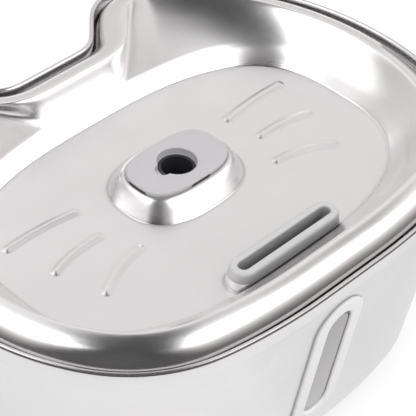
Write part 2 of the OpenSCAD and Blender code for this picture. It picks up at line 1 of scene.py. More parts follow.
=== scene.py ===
"""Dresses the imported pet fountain: pressed steel bowl and tray with a cat-head outline, moulded
fittings, and the pump set inside. Lengths are millimetres until a mesh is made; the camera, the
lamps and the cards are placed in metres."""

import math

import bpy
import numpy as np
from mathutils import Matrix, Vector


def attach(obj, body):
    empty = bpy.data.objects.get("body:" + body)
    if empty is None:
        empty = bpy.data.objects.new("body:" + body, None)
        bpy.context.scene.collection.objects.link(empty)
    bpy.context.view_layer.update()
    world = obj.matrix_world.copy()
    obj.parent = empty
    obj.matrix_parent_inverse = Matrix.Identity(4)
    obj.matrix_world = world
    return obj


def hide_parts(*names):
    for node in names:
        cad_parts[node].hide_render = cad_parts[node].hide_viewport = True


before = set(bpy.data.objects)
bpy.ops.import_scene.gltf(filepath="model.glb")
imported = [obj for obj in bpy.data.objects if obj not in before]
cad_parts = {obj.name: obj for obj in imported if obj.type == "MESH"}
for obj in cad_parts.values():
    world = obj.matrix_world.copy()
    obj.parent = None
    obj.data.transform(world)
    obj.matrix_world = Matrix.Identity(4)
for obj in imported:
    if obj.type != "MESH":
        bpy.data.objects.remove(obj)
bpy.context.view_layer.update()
scene = bpy.context.scene
MM = 0.001


# ---- camera ----
CAMERA_AT = (-0.37485, -0.36000, 0.54550)
CAMERA_TURN = (48.189, -2.667, -45.472)
SENSOR, LENS_LENGTH = 36, 150.59


def make_camera():
    """A long lens that looks down at the tray from the front left."""
    data = bpy.data.cameras.new("camera")
    data.sensor_width = SENSOR
    data.lens = LENS_LENGTH
    data.clip_start = 0.01
    camera = bpy.data.objects.new("camera", data)
    camera.location = CAMERA_AT
    camera.rotation_euler = [math.radians(a) for a in CAMERA_TURN]
    scene.collection.objects.link(camera)
    scene.camera = camera


make_camera()

# ---- sizes ----
# The bowl: under its bead, the rolled edge, stands a collar, COLLAR_IN in from the outline. The
# ledge lies LEDGE_T below the rim. The wall runs from WALL_TOP to WALL_END below it, and leans in
# by TAPER for each millimetre down.
BOWL_W, BOWL_H, HALF_DEPTH = 243, 111, 95.79
STEEL, BEAD_R, BASE_R, FOOT_H = 1, 1, 13, 3
COLLAR_IN = BEAD_R - 0.1
LEDGE_T, LEDGE_W = 8.5, 2.5
WALL_TOP, WALL_END = 12, 90
TAPER = 0.14
LEAN = math.atan(TAPER)
DEPTH = BOWL_H - FOOT_H
# The tray: the crest and the hem of its rim lie so far in from the outline and above its floor.
FLOOR_Z = BOWL_H - 13.5
CREST_IN, CREST_Z, HEM_IN, HEM_Z = 15.4, 17.8, 4.1, 10.4
ROLL_ROWS, FLANGE_ROWS, RIM_ROWS = 14, 2, 30
# Places along Y, from the front to the back.
FRONT_Y = -HALF_DEPTH
DOME_Y = FRONT_Y + 92.8
SLOT_Y = DOME_Y - 57.4
PAN_C = np.array([0, DOME_Y - 7.4])
DOME_C = np.array([0, DOME_Y])
# Ovals: half width, half depth, and the exponent that makes them squarer. The pan is the tray's
# floor.
PAN_OVAL, DOME_OVAL, MOUTH_OVAL = (88.8, 54.5, 2.86), (28.3, 21.2, 2.5), (17.8, 10, 2.9)
CAP_OVAL, SKIRT_OVAL = (21.6, 13.4, 2.9), (17.5, 9.7, 2.9)
DOME_H, CAP_T, SKIRT_L = 8, 1.7, 5
CAP_Z = FLOOR_Z + DOME_H
OUTLET_R, OUTLET_L, BORE_R, KEY_R = 8, 3, 7.7, 3.2
# The slot is a bar with round ends: half of its straight length, and its radius.
SLOT_HALF, SLOT_R, BOSS_H = 22.3, 3.4, 4.2
# The window in the front wall and the hole of the cable gland in the back wall.
FRAME_R, FRAME_GAP, TONGUE_R, SIGHT_R = 13, 6, 11.4, 5.2
GLAND_T, GLAND_R = 16.6, 4.5
# Half of the head outline, from the middle of the front: radius, turn; a straight has its length
# and no turn.
RUNS = [(16, 0), (234, 11.5), (65.5, 43.5), (98, 26.5), (118.5, 62.5), (27, 83), (15, 0),
        (11.5, -47), (18.09, 0)]


def running_mean(values, width):
    """The mean of the values over a window, with both ends mirrored."""
    padded = np.concatenate([values[width:0:-1], values, values[-2:-width - 2:-1]])
    total = np.cumsum(np.concatenate([[0], padded]))
    reach = width // 2
    index = np.arange(len(values)) + width
    return (total[index + reach + 1] - total[index - reach]) / (2 * reach + 1)


def head_outline(step=0.1, ease=7, gap=3, turn=2.5):
    """Points and outward directions round the head. The bend is constant along each run and is
    eased over a few millimetres where runs meet; heading is the sum of the bend, and place the sum
    of the heading. Points lie closer together where the bend is sharp."""
    bend, lengths = [], []
    for size, angle in RUNS:
        length = size if angle == 0 else size * math.radians(abs(angle))
        lengths.append(length)
        bend.append(0 if angle == 0 else math.copysign(1 / size, angle))
    for _ in range(2):
        ends = np.cumsum(lengths)
        s = np.arange(0, ends[-1] + step / 2, step)
        k = np.array(bend)[np.minimum(np.searchsorted(ends, s), len(RUNS) - 1)]
        for _ in range(2):
            k = running_mean(k, int(ease / step))
        heading = np.concatenate([[0], np.cumsum((k[1:] + k[:-1]) / 2 * step)])
        heading *= math.pi / heading[-1]
        x = np.concatenate([[0], np.cumsum(np.cos((heading[1:] + heading[:-1]) / 2) * step)])
        y = np.concatenate([[0], np.cumsum(np.sin((heading[1:] + heading[:-1]) / 2) * step)])
        lengths[-1] += x[-1]
    density = 1 / gap + np.abs(k) / math.radians(turn)
    share = np.concatenate([[0], np.cumsum((density[1:] + density[:-1]) / 2 * step)])
    count = int(round(share[-1]))
    at = np.interp(np.arange(count + 1) * share[-1] / count, share, s)
    px, py, a = (np.interp(at, s, v) for v in (x, y, heading))
    px[[0, -1]] = 0
    half = np.stack([px, py + FRONT_Y], 1)
    out = np.stack([np.sin(a), -np.cos(a)], 1)
    flip = np.array([-1, 1])
    return (np.concatenate([half, (half * flip)[-2:0:-1]]),
            np.concatenate([out, (out * flip)[-2:0:-1]]))


RIM, OUT = head_outline()


def lift(ring, z):
    """A flat ring raised to height z."""
    return np.column_stack([ring, np.broadcast_to(z, len(ring))])


def mix(a, b, u):
    """What lies the share u of the way from a to b."""
    return a + (b - a) * u


def edge_ring(inset, z):
    """The outline moved in by inset, at height z."""
    return lift(RIM - inset * OUT, z)


def oval(size, grow, centre, angle):
    """Points of a superellipse at the given polar angles: r = (|cos/a|^n + |sin/b|^n)^(-1/n), with
    a, b and n from size, and grow added to a and b."""
    a, b, n = size[0] + grow, size[1] + grow, size[2]
    r = (np.abs(np.cos(angle) / a) ** n + np.abs(np.sin(angle) / b) ** n) ** (-1 / n)
    return centre + r[:, None] * np.stack([np.cos(angle), np.sin(angle)], 1)


PAN_ANGLE = np.arctan2(*(RIM - PAN_C).T[::-1])
BOWL_ANGLE = np.arctan2(*RIM.T[::-1])


def pan_ring(grow, z):
    """The edge of the tray's floor, grown outwards, at height z."""
    return lift(oval(PAN_OVAL, grow, PAN_C, PAN_ANGLE), z)


def rounded(corners, cuts, steps=6):
    """Rows along a chain of corners. Each corner is rounded by a quadratic curve between the
    points that lie its cut away from it on either side; a cut of 0 keeps the corner."""
    corners = [np.asarray(c, float) for c in corners]
    rows = [corners[0]]
    for before, here, after, cut in zip(corners, corners[1:], corners[2:], cuts):
        ends = []
        for other in (before, after):
            away = other - here
            length = np.linalg.norm(away, axis=-1, keepdims=True)
            ends.append(here + away * np.minimum(cut / length, 0.5))
        if cut == 0:
            rows.append(here)
            continue
        for t in np.linspace(0, 1, steps):
            rows.append((1 - t) ** 2 * ends[0] + 2 * t * (1 - t) * here + t * t * ends[1])
    return np.array(rows + [corners[-1]])


def filled(rows, gap):
    """The rows with more between them, wherever two lie further apart than gap."""
    result = [rows[0]]
    for a, b in zip(rows, rows[1:]):
        parts = max(1, math.ceil(np.linalg.norm(b - a, axis=-1).max() / gap))
        result += [mix(a, b, (i + 1) / parts) for i in range(parts)]
    return np.array(result)


# ---- meshes ----
def grid_faces(m, n, along=False):
    """Quads of a grid of m rows of n points that is closed round each row, and from the last row
    to the first when along."""
    i = np.arange(m if along else m - 1)[:, None]
    j = np.arange(n)[None, :]
    k = (j + 1) % n
    up = (i + 1) % m
    return np.stack([i * n + j, i * n + k, up * n + k, up * n + j], -1).reshape(-1, 4)


def make_mesh(name, rows, along=False, caps=()):
    """A mesh from rows of points in millimetres. Each of caps, 0 or -1, closes that end row with
    triangles to its middle. Faces are turned to point outwards by the sign of the volume."""
    rows = np.asarray(rows, float)
    m, n = rows.shape[:2]
    points = [rows.reshape(-1, 3)]
    quads = grid_faces(m, n, along)
    triangles = []
    for cap in caps:
        row = cap % m
        pole = m * n + len(triangles)
        points.append(rows[row].mean(0)[None])
        j = np.arange(n)
        k = (j + 1) % n
        pair = (k, j) if cap == 0 else (j, k)
        triangles.append(np.stack([row * n + pair[0], row * n + pair[1], np.full(n, pole)], -1))
    points = np.concatenate(points)
    tris = np.concatenate([quads[:, [0, 1, 2]], quads[:, [0, 2, 3]]] + triangles)
    a, b, c = (points[tris[:, i]] for i in range(3))
    if np.einsum("ij,ij->i", a, np.cross(b, c)).sum() < 0:
        quads = quads[:, ::-1]
        triangles = [t[:, ::-1] for t in triangles]
    faces = [quads] + triangles
    sizes = np.concatenate([np.full(len(f), f.shape[1]) for f in faces])
    corners = np.concatenate([f.ravel() for f in faces])
    mesh = bpy.data.meshes.new(name)
    mesh.vertices.add(len(points))
    mesh.vertices.foreach_set("co", (points * MM).ravel())
    mesh.loops.add(len(corners))
    mesh.loops.foreach_set("vertex_index", corners)
    mesh.polygons.add(len(sizes))
    mesh.polygons.foreach_set("loop_start", np.cumsum(sizes) - sizes)
    mesh.update(calc_edges=True)
    mesh.validate()
    return mesh


def make_piece(name, rows, finish, body, replaces=None, slot=None, crease=35, cutters=(), polish=None,
               **closing):
    """Links a piece to the scene, cuts it, shades it smooth up to the crease angle, and puts it on
    its body. polish, a share for each point, is kept as an attribute for its finish, and closing
    says how make_mesh closes the grid."""
    mesh = make_mesh(name, rows, **closing)
    if polish is not None:
        mesh.attributes.new("polish", "FLOAT", "POINT").data.foreach_set("value", polish.ravel())
    piece = bpy.data.objects.new(name, mesh)
    scene.collection.objects.link(piece)
    for cutter in cutters:
        cut(piece, cutter)
    mesh = piece.data
    mesh.polygons.foreach_set("use_smooth", np.ones(len(mesh.polygons), bool))
    mesh.set_sharp_from_angle(angle=math.radians(crease))
    mesh.materials.clear()
    mesh.materials.append(finish)
    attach(piece, body)
    if replaces:
        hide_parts(replaces)


def cut(piece, rows):
    """Cuts the closed shape given by rows out of the piece."""
    tool = bpy.data.objects.new("cutter", make_mesh("cutter", rows, caps=(0, -1)))
    scene.collection.objects.link(tool)
    boolean = piece.modifiers.new("cut", "BOOLEAN")
    boolean.object = tool
    boolean.operation = "DIFFERENCE"
    boolean.solver = "EXACT"
    depsgraph = bpy.context.evaluated_depsgraph_get()
    result = bpy.data.meshes.new_from_object(piece.evaluated_get(depsgraph))
    piece.modifiers.clear()
    piece.data = result
    bpy.data.objects.remove(tool)


def stadium(half, arc=20, straight=8):
    """Centres and outward directions round a bar with round ends along X."""
    turn = np.linspace(-math.pi / 2, math.pi / 2, arc)
    run = np.linspace(1, -1, straight + 2)[1:-1]
    centre, out = [], []
    for side in (1, -1):
        centre += [np.stack([np.full(arc, side * half), np.zeros(arc)], 1),
                   np.stack([side * run * half, np.zeros(straight)], 1)]
        out += [side * np.stack([np.cos(turn), np.sin(turn)], 1),
                np.stack([np.zeros(straight), np.full(straight, side)], 1)]
    return np.concatenate(centre), np.concatenate(out)


def sweep(half, profile, place):
    """A profile of distances out and heights, carried round a bar with round ends and put in place."""
    centre, out = stadium(half)
    return np.array([place(lift(centre + r * out, h)) for r, h in profile])


# ---- finishes ----
class Socket:
    """An output of a node. Arithmetic on it adds Math nodes, so an expression reads as one."""

    def __init__(self, nodes, output):
        self.nodes = nodes
        self.output = output

    def math(self, operation, *values, **settings):
        settings["operation"] = operation
        return self.nodes.node("ShaderNodeMath", settings, dict(enumerate(values)))

    def __add__(self, other):
        return self.math("ADD", self, other)

    def __sub__(self, other):
        return self.math("SUBTRACT", self, other)

    def __rsub__(self, other):
        return self.math("SUBTRACT", other, self)

    def __mul__(self, other):
        return self.math("MULTIPLY", self, other)

    def __pow__(self, other):
        return self.math("POWER", self, other)

    __radd__ = __add__
    __rmul__ = __mul__

    def clamp(self):
        """The value held between 0 and 1."""
        return self.math("MULTIPLY", self, 1, use_clamp=True)


class Nodes:
    """A node tree, and the ways to add to it."""

    def __init__(self, tree):
        self.tree = tree

    def node(self, kind, settings=None, inputs=None, output=0):
        """Adds a node, sets it up, and fills its sockets with numbers or links."""
        made = self.tree.nodes.new(kind)
        for key, value in (settings or {}).items():
            setattr(made, key, value)
        for key, value in (inputs or {}).items():
            self.link(made.inputs[key], value)
        return Socket(self, made.outputs[output])

    def link(self, socket, value):
        """Links a socket to a node's output, or sets it to a constant."""
        if isinstance(value, Socket):
            self.tree.links.new(value.output, socket)
        else:
            socket.default_value = value

    def seen(self):
        """1 for what the eye, a reflection or a clear piece sees, and 0 for light on the object."""
        camera, glossy, through = (self.node("ShaderNodeLightPath", output=f"Is {kind} Ray")
                                   for kind in ("Camera", "Glossy", "Transmission"))
        return (camera + glossy + through).clamp()


class Finish(Nodes):
    """A material, its shader, and the nodes that feed it."""

    def __init__(self, name, colour=None, **constants):
        self.material = bpy.data.materials.new(name)
        self.material.use_nodes = True
        super().__init__(self.material.node_tree)
        self.shader = self.tree.nodes["Principled BSDF"]
        if colour:
            constants["Base Color"] = (*colour, 1)
        for key, value in constants.items():
            self.feed(key.replace("_", " "), value)
        self.place = self.node("ShaderNodeTexCoord", output="Object")

    def feed(self, key, value):
        """Sets or links one of the shader's sockets."""
        self.link(self.shader.inputs[key], value)

    def noise(self, size, detail=3, roughness=0.5):
        """Noise from -0.5 to 0.5 with features of the given size in millimetres."""
        scaled = self.node("ShaderNodeVectorMath", {"operation": "MULTIPLY"}, {
            0: self.place, 1: [1 / (MM * size)] * 3})
        value = self.node("ShaderNodeTexNoise", {}, {
            "Vector": scaled, "Scale": 1, "Detail": detail, "Roughness": roughness}, "Fac")
        return value - 0.5

    def bands(self, axis, pitch):
        """Waves from 0 to 1 along an axis, one for about each pitch in millimetres. At scale 1 the
        node has one for each pi / 10 metres."""
        return self.node("ShaderNodeTexWave", {"bands_direction": axis}, {
            "Vector": self.place, "Scale": 1 / (MM * pitch * math.pi), "Distortion": 0}, "Fac")

    def height(self):
        """Height above the ground in millimetres."""
        parts = self.node("ShaderNodeSeparateXYZ", {}, {0: self.place}, "Z")
        return parts * (1 / MM)

    def blend(self, a, b, share):
        """A colour between a and b."""
        a, b = (c if isinstance(c, Socket) else (*c, 1) for c in (a, b))
        return self.node("ShaderNodeMix", {"data_type": "RGBA"}, {0: share, 6: a, 7: b}, 2)

    def open_share(self, reach):
        """The share of directions that are open for reach millimetres."""
        return self.node("ShaderNodeAmbientOcclusion", {"samples": 6}, {"Distance": reach * MM}, "AO")

    def bump(self, height, distance):
        """Raises the surface by height times distance in millimetres."""
        self.feed("Normal", self.node("ShaderNodeBump", {}, {
            "Strength": 1, "Distance": distance * MM, "Height": height}, "Normal"))


def steel(name, satin, brushed, colour, crease=1.6):
    """Pressed stainless steel: a fine grain, with the roughness satin where the piece's polish is 0
    and brushed where it is 1. Painted shade makes it darker where it is deeper than crease, in
    millimetres: in its creases and next to other parts."""
    finish = Finish(name, Metallic=1)
    grain = finish.noise(0.3, detail=2)
    cloud = finish.noise(26, detail=2)
    polish = finish.node("ShaderNodeAttribute", {"attribute_name": "polish"}, {}, "Fac")
    finish.feed("Roughness", satin + polish * (brushed - satin) + grain * 0.05 + cloud * 0.08)
    # painted shade: darker in creases and beside other parts, times a slight random tone
    shade = (finish.open_share(crease) ** 3 * (0.96 + cloud * 0.12)).clamp()
    finish.feed("Base Color", finish.blend([c * 0.35 for c in colour], colour, shade))
    finish.bump(grain, 0.0015)
    return finish.material


def moulded(name, colour, roughness, depth=0.02, size=0.5, shift=0.03, crease=0):
    """Moulded plastic or rubber: a faint texture, and a slight change of tone over the piece. Painted
    shade makes it darker where it is deeper than crease, in millimetres."""
    finish = Finish(name, colour=colour)
    fine = finish.noise(size, detail=2)
    cloud = finish.noise(14, detail=1)
    finish.feed("Roughness", roughness + fine * 0.12 + cloud * 0.08)
    shade = (cloud * 1.6 + 0.5).clamp()
    tone = finish.blend([c * (1 - shift) for c in colour], colour, shade)
    # painted shade in creases
    if crease:
        tone = finish.blend([c * 0.3 for c in colour], tone, finish.open_share(crease))
    finish.feed("Base Color", tone)
    finish.bump(fine, depth)
    return finish.material


def smoky():
    """Smoky plastic: darker towards its top, from 21 to 91 mm above the ground, with painted shade in
    its groove.
    """
    finish = Finish("lens_plastic", Roughness=0.3)
    rise = (finish.height() * (1 / 70) - 21 / 70).clamp()
    tone = finish.blend((0.53, 0.515, 0.52), (0.37, 0.358, 0.362), rise)
    # painted shade in the groove round the lens
    finish.feed("Base Color", finish.blend((0.12, 0.11, 0.11), tone, finish.open_share(1)))
    finish.bump(finish.noise(0.5, detail=2), 0.01)
    return finish.material


STEEL_COLOUR = (0.865, 0.853, 0.857)
# BOWL_SHADE is painted shade: the bowl uses the tray's steel, made darker over its whole face.
BOWL_SHADE = 0.875

tray_steel = steel("tray_steel", 0.46, 0.16, STEEL_COLOUR)
rib_steel = steel("rib_steel", 0.32, 0.32, STEEL_COLOUR)
bowl_steel = steel("bowl_steel", 0.26, 0.26, [c * BOWL_SHADE for c in STEEL_COLOUR], crease=0.5)
cap_plastic = moulded("cap_plastic", (0.52, 0.508, 0.52), 0.5)
ring_plastic = moulded("ring_plastic", (0.58, 0.575, 0.58), 0.42, crease=7)
frame_plastic = moulded("frame_plastic", (0.9, 0.89, 0.894), 0.4, crease=1.5)
lens_plastic = smoky()
dark_rubber = moulded("dark_rubber", (0.06, 0.06, 0.065), 0.6, depth=0.04)
foot_rubber = moulded("foot_rubber", (0.5, 0.5, 0.5), 0.65, depth=0.04)
pump_plastic = moulded("pump_plastic", (0.03, 0.03, 0.035), 0.45)
gate_plastic = moulded("gate_plastic", (0.16, 0.17, 0.18), 0.45)
box_plastic = moulded("box_plastic", (0.72, 0.73, 0.73), 0.4)
impeller_plastic = moulded("impeller_plastic", (0.75, 0.75, 0.72), 0.4)
magnet = moulded("magnet", (0.05, 0.05, 0.055), 0.5, depth=0.05)
ceramic = moulded("ceramic", (0.8, 0.79, 0.76), 0.25, depth=0.005)
resin = moulded("resin", (0.04, 0.05, 0.05), 0.35, depth=0.05, size=3)


def layered(name, colour, dark, size, roughness, depth, detail=4):
    """A rough, open material: strong relief, with painted shade darkening its hollows."""
    finish = Finish(name, colour=colour, Roughness=roughness)
    relief = finish.noise(size, detail=detail, roughness=0.65)
    # painted shade in the hollows of the relief
    finish.feed("Base Color", finish.blend(dark, colour, (relief * 2.4 + 0.55).clamp()))
    finish.bump(relief, depth)
    return finish.material


fleece = layered("fleece", (0.8, 0.8, 0.78), (0.6, 0.6, 0.58), 1.2, 0.95, 0.5)
carbon = layered("carbon", (0.045, 0.045, 0.05), (0.008, 0.008, 0.008), 1.6, 0.6, 0.9, detail=1)
sponge = layered("sponge", (0.07, 0.075, 0.08), (0.012, 0.012, 0.014), 1.1, 0.95, 0.8)


def winding():
    """Enamelled wire laid side by side round the core's limb."""
    finish = Finish("copper", colour=(0.6, 0.25, 0.1), Metallic=0.9)
    wave = finish.bands("X", 0.6)
    finish.feed("Base Color", finish.blend((0.25, 0.08, 0.03), (0.65, 0.28, 0.11), wave))
    finish.feed("Roughness", 0.3 + finish.noise(3) * 0.2)
    finish.bump(wave, 0.2)
    return finish.material


def laminations():
    """Stamped steel sheets stacked along Y, each edge a fine line."""
    finish = Finish("core_steel", colour=(0.35, 0.36, 0.38), Metallic=0.9)
    wave = finish.bands("Y", 0.5)
    finish.feed("Base Color", finish.blend((0.16, 0.16, 0.17), (0.4, 0.4, 0.42), wave))
    finish.feed("Roughness", 0.45 + finish.noise(2) * 0.2)
    finish.bump(wave, 0.08)
    return finish.material


copper = winding()
core_steel = laminations()

NODE_FINISH = {
    "feet": foot_rubber, "window_gasket": dark_rubber, "window_backplate": frame_plastic,
    "cable_gland": dark_rubber, "riser": pump_plastic, "filter_box": box_plastic,
    "filter_frame": box_plastic, "filter_fleece": fleece, "carbon_bed": carbon,
    "prefilter_sponge": sponge, "pump_body": pump_plastic, "pump_cover": pump_plastic,
    "cover_seal": dark_rubber, "flow_gate": gate_plastic, "impeller": impeller_plastic,
    "rotor_magnet": magnet, "impeller_shaft": ceramic, "shaft_bushes": dark_rubber,
    "stator_core": core_steel, "motor_coil": copper, "potting": resin, "suction_cups": dark_rubber,
}
for node, finish in NODE_FINISH.items():
    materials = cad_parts[node].data.materials
    materials.clear()
    materials.append(finish)


# ---- tray ----
def tray_rows():
    """The pressed sheet from its rolled edge up over the rim, down to the floor, and up the dome to
    the mouth under the cap; then back along the underside, one sheet thickness below. The rim lies
    1 - (1 - s^1.8)^0.9 of its drop below the crest, where s is 1 at the hem and 0 at the crest."""
    curl_in, curl_r, curl_z = HEM_IN - 0.6, 0.9, 6.1
    roll = [(curl_in - curl_r * math.cos(a), curl_z + curl_r * math.sin(a))
            for a in np.radians(np.linspace(-150, 60, ROLL_ROWS))]
    s = np.linspace(1, 0, RIM_ROWS) ** 0.8
    rim_w, rim_drop = CREST_IN - HEM_IN, CREST_Z - HEM_Z - 0.6
    rim = np.column_stack([CREST_IN - rim_w * s,
                           CREST_Z - rim_drop * (1 - (1 - s ** 1.8) ** 0.9)])
    flange = [(HEM_IN + 0.5, curl_z + 1.7), (HEM_IN + 0.8, HEM_Z + 0.2)]
    edge = [edge_ring(inset, FLOOR_Z + z) for inset, z in [*roll, *flange, *rim]]
    brow = edge_ring(CREST_IN + 1.2, FLOOR_Z + CREST_Z - 0.1)
    step = pan_ring(4.4, FLOOR_Z + 6.4)
    shelf = shelf_ring(edge[-1], step)
    wall = rounded([edge[-1], brow, shelf, step, pan_ring(0, FLOOR_Z), pan_ring(-6, FLOOR_Z)],
                   [4.5, 5.0, 3.0, 0.8], 9)
    dome_foot = dome_ring(-0.16, 0)
    floor = filled(np.array([wall[-1], dome_foot]), 9)
    top = [*edge, *filled(wall, 7)[1:], *floor[1:], *dome_rows()[1:]]
    normals = row_normals(np.array(top))
    start = ROLL_ROWS + FLANGE_ROWS
    under = np.array(top)[start:] - STEEL * normals[start:]
    inner_roll = [edge_ring(HEM_IN + STEEL - 0.1, FLOOR_Z + z) for z in (8.6, 7.4)]
    return np.array([*top, *under[::-1][::2], *inner_roll])


def tray_polish(rows):
    """How polished each point of the tray is: 1 on the rolled edge, 0.68 at the crest of the rim,
    0.8 in the fillets at the floor, and 0 on the floor. On the flanks it grows with the height, from
    0.4 at the floor to 0.82 at 16 mm."""
    rise = rows[..., 2] - FLOOR_Z
    flank = 0.4 + 0.42 * np.clip(rise / 16, 0, 1)
    polish = np.clip(rise / 0.08, 0, 1) * mix(0.8, flank, np.clip((rise - 0.5) / 0.8, 0, 1))
    start = ROLL_ROWS + FLANGE_ROWS
    polish[:start] = 1
    polish[start:start + RIM_ROWS] = np.linspace(1, 0.68, RIM_ROWS)[:, None]
    return polish


def shelf_ring(crest, step):
    """A ring between the crest and the step above the floor, at most 8 mm in from the crest. It lies
    towards the step near the middle, and square to the outline in the ears and at the sides, with a
    smooth change from 50 to 80 mm off the middle."""
    way = (step - crest)[:, :2]
    reach = np.linalg.norm(way, axis=1)
    way /= reach[:, None]
    square = np.clip((np.abs(RIM[:, 0]) - 50) / 30, 0, 1)
    way = mix(way, -OUT, (square ** 2 * (3 - 2 * square))[:, None])
    way /= np.linalg.norm(way, axis=1, keepdims=True)
    run = np.minimum(0.45 * reach, 8)
    return lift(crest[:, :2] + run[:, None] * way, mix(crest[:, 2], step[:, 2], run / reach))


def row_normals(rows):
    """Unit normals of a closed-round grid, from the cross product of its two directions."""
    round_dir = np.roll(rows, -1, 1) - np.roll(rows, 1, 1)
    along_dir = np.gradient(rows, axis=0)
    normal = np.cross(round_dir, along_dir)
    normal /= np.linalg.norm(normal, axis=-1, keepdims=True)
    return normal * np.sign(normal[..., 2].mean())


def dome_ring(share, z):
    """A ring between the dome's base oval and the cap's outline."""
    size = [mix(p, q, share) for p, q in zip(DOME_OVAL, CAP_OVAL)]
    return lift(oval(size, 0, DOME_C, PAN_ANGLE), FLOOR_Z + z)


def dome_rows():
    """The dome's flank is S-shaped: a small fillet at the floor, a steep middle, and a round
    shoulder under the cap."""
    corners = [dome_ring(-0.3, 0), dome_ring(-0.04, 0), dome_ring(0.72, DOME_H), dome_ring(1, DOME_H)]
    mouth = lift(oval(MOUTH_OVAL, 0, DOME_C, PAN_ANGLE), FLOOR_Z + DOME_H)
    return rounded([*corners, mouth], [0.25, 4.2, 0], 12)


def on_slot(points):
    """Moves a shape drawn round the middle of the slot to its place on the tray's floor."""
    return points + [0, SLOT_Y, FLOOR_Z]


TRAY = tray_rows()
make_piece("tray_sheet", TRAY, tray_steel, "tray", replaces="tray", slot="tray_steel", along=True,
           crease=50, polish=tray_polish(TRAY),
           cutters=[sweep(SLOT_HALF, [(SLOT_R, -8), (SLOT_R, 8)], on_slot)])

# The raised bed of the slot: a fillet at the floor, a short wall and a round shoulder.
BOSS = rounded([(7.9, -0.25), (6.6, 0.05), (6.0, BOSS_H), (SLOT_R, BOSS_H), (SLOT_R, -0.3)],
               [1.0, 0.5, 0])
make_piece("slot_boss", sweep(SLOT_HALF, BOSS, on_slot), tray_steel, "tray", replaces="tray",
           slot="tray_steel", along=True)

# Each rib at the right: start and end from the middle of the dome, and how far its spine bows.
RIBS = [((42.2, 12.6), (75, 14.3), 1.0), ((44.7, -3.8), (69.6, -7), 1.4),
        ((38, -18.8), (63, -27.4), 1.7)]


def rib_rows(start, end, bow, height=0.6, half=2.5, count=30, turn=9):
    """A pressed rib. Its spine is a parabola from start to end, its outline is all points within
    half of the spine, and its height falls as (1 - q^2)^2 with q, the distance from the spine as a
    share of half. Each row goes across the top and back below the sheet's face; count of them lie
    along the spine, and turn of them go round each end."""
    start, end = np.array(start), np.array(end)
    chord = end - start
    length = np.linalg.norm(chord)
    ahead = chord / length
    side = np.array([-ahead[1], ahead[0]])
    tip = np.sin(np.linspace(0, 1.5, turn + 1))[1:]
    over = np.concatenate([-tip[::-1], np.zeros(count), tip])
    u = np.concatenate([np.zeros(turn), np.linspace(0, 1, count), np.ones(turn)])
    spine = start + u[:, None] * chord + (4 * bow * u * (1 - u))[:, None] * side
    slope = chord / length + (4 * bow / length * (1 - 2 * u))[:, None] * side
    slope /= np.linalg.norm(slope, axis=1, keepdims=True)
    normal = np.stack([-slope[:, 1], slope[:, 0]], 1)
    width = np.sqrt(1 - over ** 2)
    rows = []
    for v in np.concatenate([np.sin(np.linspace(-math.pi / 2, math.pi / 2, 21)), [1, -1]]):
        q = over ** 2 + (v * width) ** 2
        flat = spine + half * (over[:, None] * slope + (v * width)[:, None] * normal)
        rows.append(lift(flat, FLOOR_Z + 0.02 + height * (1 - q) ** 2))
    for row in rows[-2:]:
        row[:, 2] = FLOOR_Z - 0.4
    return np.swapaxes(np.array(rows), 0, 1)


for side in (-1, 1):
    for number, (start, end, bow) in enumerate(RIBS, 1):
        rows = rib_rows(start, end, bow) * [side, 1, 1] + [0, DOME_Y, 0]
        name = f"whisker_rib_{'left' if side < 0 else 'right'}_{number}"
        make_piece(name, rows, rib_steel, "tray", replaces="tray", slot="tray_steel", crease=60,
                   caps=(0, -1))

# ---- slot ring ----
RING = rounded([(SLOT_R, 3.2), (5.95, 4.1), (5.5, 8.6), (2.2, 8.6), (2.2, 1.8), (SLOT_R, 1.8),
                (SLOT_R, 3.2)], [0, 1.6, 1.1, 0.2, 0.2], 8)
make_piece("slot_ring_moulding", sweep(SLOT_HALF, RING[:-1], on_slot), ring_plastic, "tray",
           replaces="slot_ring", slot="ring_plastic", along=True)


# ---- spout cap ----
def cap_rows(count=288, sharp=12, notch_h=0.7, notch_x=5, notch_y=4.5):
    """The cap: an oval plate with a round outlet. The outlet's radius is (R^sharp + key^sharp) ^
    (1/sharp), where key is the reach of a small circle at the left that overlaps it. Shallow
    notches are cut under the plate's edge, near the middle of its four sides."""
    angle = np.arange(count) / count * 2 * math.pi
    swing = np.abs(angle % (2 * math.pi) - math.pi)
    under_root = np.maximum(KEY_R ** 2 - (BORE_R * np.sin(swing)) ** 2, 0)
    key = np.where(swing < math.pi / 2, BORE_R * np.cos(swing) + np.sqrt(under_root), 0)
    key = np.where(under_root > 0, key, 0)
    hole = (OUTLET_R ** sharp + key ** sharp) ** (1 / sharp)
    direction = np.stack([np.cos(angle), np.sin(angle)], 1)

    def plate(grow, z):
        return lift(oval(CAP_OVAL, grow, DOME_C, angle), z)

    def outlet(grow, z):
        return lift(DOME_C + direction * (hole + grow)[:, None], z)

    rim = plate(0, 0)[:, :2] - DOME_C
    notch = notch_h * ((np.abs(rim[:, 0]) < notch_x) | (np.abs(rim[:, 1]) < notch_y))
    top = CAP_Z + CAP_T
    bore = lift(DOME_C + direction * BORE_R, CAP_Z - SKIRT_L)
    lip = lift(DOME_C + direction * BORE_R, top - OUTLET_L)
    skirt, shoulder = (lift(oval(SKIRT_OVAL, 0, DOME_C, angle), z) for z in (CAP_Z - SKIRT_L, CAP_Z))
    return rounded([bore, skirt, shoulder, plate(-1.1, CAP_Z), plate(-1.0, CAP_Z + notch),
                    plate(0, CAP_Z + notch), plate(0, top), outlet(0, top),
                    outlet(0, top - OUTLET_L), lip], [0, 0, 0, 0, 0, 0.55, 0.3, 0])


make_piece("cap_moulding", cap_rows(), cap_plastic, "cap", replaces="spout_cap",
           slot="cap_plastic", along=True)


# ---- bowl ----
def wall_in(t):
    """How far in from the outline the outside of the wall is, t below the rim."""
    return COLLAR_IN + LEDGE_W + TAPER * (t - LEDGE_T - STEEL)


HEEL_IN = wall_in(DEPTH - BASE_R)


